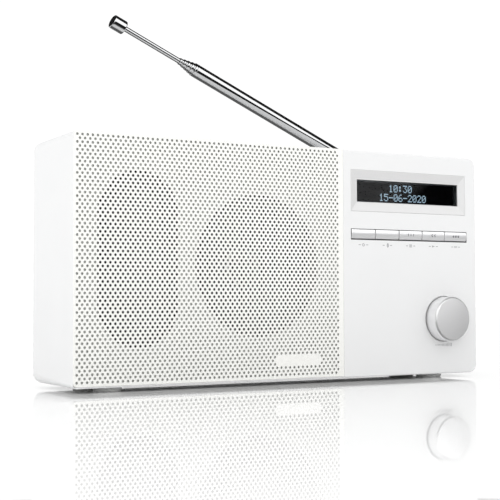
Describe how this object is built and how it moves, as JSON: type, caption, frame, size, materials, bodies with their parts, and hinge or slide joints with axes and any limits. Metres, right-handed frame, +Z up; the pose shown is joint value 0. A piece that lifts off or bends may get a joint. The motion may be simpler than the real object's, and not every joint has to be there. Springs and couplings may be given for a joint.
{
  "type": "tabletop radio",
  "caption": "Tabletop digital radio: white cabinet, perforated steel grille over speaker and passive radiator, display, push buttons, push-and-turn knob and telescopic antenna.",
  "frame": {"origin": "on the resting plane, under the middle of the cabinet", "axes": "+X to the radio's right as seen from the front, front faces -Y, +Z up"},
  "size_m": [0.262, 0.0791, 0.2098],
  "materials": {
    "white_shell": "satin moulded plastic",
    "white_gloss": "gloss moulded plastic",
    "button_gloss": "gloss silver-white paint",
    "grille_paint": "satin powder coat",
    "lens_tint": "smoked acrylic",
    "lcd_glass": "dark polarised glass",
    "diffuser": "milky diffuser",
    "tinned_steel": "tin plate",
    "zinc_steel": "zinc plate",
    "screw_steel": "zinc plate",
    "black_steel": "black enamel",
    "black_plastic": "moulded",
    "black_rubber": "matte",
    "rubber": "matte, pale grey",
    "foam": "closed-cell foam",
    "cone_paper": "coated paper",
    "spider_cloth": "phenolic cloth",
    "ferrite": "ground ferrite",
    "aluminium": "foil",
    "board": "green solder mask",
    "ribbon": "flat cable",
    "satin_metal": "spun satin, turned bevel",
    "chrome": "polished plate"
  },
  "bodies": {
    "radio_body": {"antenna_bush": "white_gloss", "aux_jack": "black_plastic", "board_screws": "screw_steel", "cabinet": "white_shell", "capacitors": "black_plastic", "chamber_divider": "black_plastic", "control_board": "board", "cover_screws": "screw_steel", "dc_inlet": "black_plastic", "display_bezel": "white_gloss", "display_lens": "lens_tint", "driver_screws": "screw_steel", "dust_cap": "cone_paper", "encoder_body": "zinc_steel", "encoder_nut": "zinc_steel", "feet": "rubber", "headphone_jack": "black_plastic", "lcd_backlight": "diffuser", "lcd_frame": "tinned_steel", "lcd_glass": "lcd_glass", "main_board": "board", "radiator_frame": "black_plastic", "radiator_plate": "black_plastic", "radiator_surround": "black_rubber", "rear_cover": "white_shell", "ribbon_cable": "ribbon", "speaker_basket": "black_steel", "speaker_cone": "cone_paper", "speaker_gasket": "foam", "speaker_grille": "grille_paint", "speaker_magnet": "ferrite", "speaker_pole": "zinc_steel", "speaker_spider": "spider_cloth", "speaker_surround": "black_rubber", "speaker_top_plate": "zinc_steel", "switch_bodies": "black_plastic", "tuner_module": "board", "tuner_shield": "tinned_steel", "voice_coil": "aluminium"},
    "power_button": {"power_button": "button_gloss"},
    "band_button": {"band_button": "button_gloss"},
    "menu_button": {"menu_button": "button_gloss"},
    "back_button": {"back_button": "button_gloss"},
    "preset_button": {"preset_button": "button_gloss"},
    "encoder_rotor": {"encoder_rotor": "black_plastic"},
    "knob": {"encoder_shaft": "zinc_steel", "knob_core": "black_plastic", "knob_cap": "satin_metal"},
    "antenna_swivel": {"antenna_swivel": "chrome", "antenna_screw": "zinc_steel", "tilt_pin": "chrome"},
    "antenna_mast": {"antenna_lug": "chrome", "antenna_section_1": "chrome"},
    "antenna_section_2": {"antenna_section_2": "chrome"},
    "antenna_section_3": {"antenna_section_3": "chrome"},
    "antenna_section_4": {"antenna_section_4": "chrome"},
    "antenna_section_5": {"antenna_section_5": "chrome"},
    "antenna_rod": {"antenna_rod": "chrome", "antenna_tip": "chrome"}
  },
  "joints": [
    {"name": "power_press", "type": "slide", "parent": "radio_body", "child": "power_button", "axis": [0, 1, 0], "range_m": [0, 0.0006], "stiffness_N_per_m": 1500},
    {"name": "band_press", "type": "slide", "parent": "radio_body", "child": "band_button", "axis": [0, 1, 0], "range_m": [0, 0.0006], "stiffness_N_per_m": 1500},
    {"name": "menu_press", "type": "slide", "parent": "radio_body", "child": "menu_button", "axis": [0, 1, 0], "range_m": [0, 0.0006], "stiffness_N_per_m": 1500},
    {"name": "back_press", "type": "slide", "parent": "radio_body", "child": "back_button", "axis": [0, 1, 0], "range_m": [0, 0.0006], "stiffness_N_per_m": 1500},
    {"name": "preset_press", "type": "slide", "parent": "radio_body", "child": "preset_button", "axis": [0, 1, 0], "range_m": [0, 0.0006], "stiffness_N_per_m": 1500},
    {"name": "knob_turn", "type": "hinge", "parent": "radio_body", "child": "encoder_rotor", "pos_m": [0.1053, 0, 0.0351], "axis": [0, 1, 0], "continuous": true},
    {"name": "knob_push", "type": "slide", "parent": "encoder_rotor", "child": "knob", "axis": [0, 1, 0], "range_m": [0, 0.0005], "stiffness_N_per_m": 4000},
    {"name": "antenna_turn", "type": "hinge", "parent": "radio_body", "child": "antenna_swivel", "pos_m": [0.112, 0.028, 0.1219], "axis": [0, 1, 0], "range_deg": [-23.6, 156.4]},
    {"name": "antenna_tilt", "type": "hinge", "parent": "antenna_swivel", "child": "antenna_mast", "pos_m": [0.112, 0.037, 0.1219], "axis": [-0.4003, 0, -0.9164], "range_deg": [0, 90]},
    {"name": "section_2_slide", "type": "slide", "parent": "antenna_mast", "child": "antenna_section_2", "axis": [-0.9164, 0, 0.4003], "range_m": [0, 0.1235]},
    {"name": "section_3_slide", "type": "slide", "parent": "antenna_section_2", "child": "antenna_section_3", "axis": [-0.9164, 0, 0.4003], "range_m": [0, 0.1235]},
    {"name": "section_4_slide", "type": "slide", "parent": "antenna_section_3", "child": "antenna_section_4", "axis": [-0.9164, 0, 0.4003], "range_m": [0, 0.1235]},
    {"name": "section_5_slide", "type": "slide", "parent": "antenna_section_4", "child": "antenna_section_5", "axis": [-0.9164, 0, 0.4003], "range_m": [0, 0.1235]},
    {"name": "rod_slide", "type": "slide", "parent": "antenna_section_5", "child": "antenna_rod", "axis": [-0.9164, 0, 0.4003], "range_m": [-0.038, 0.087]}
  ]
}
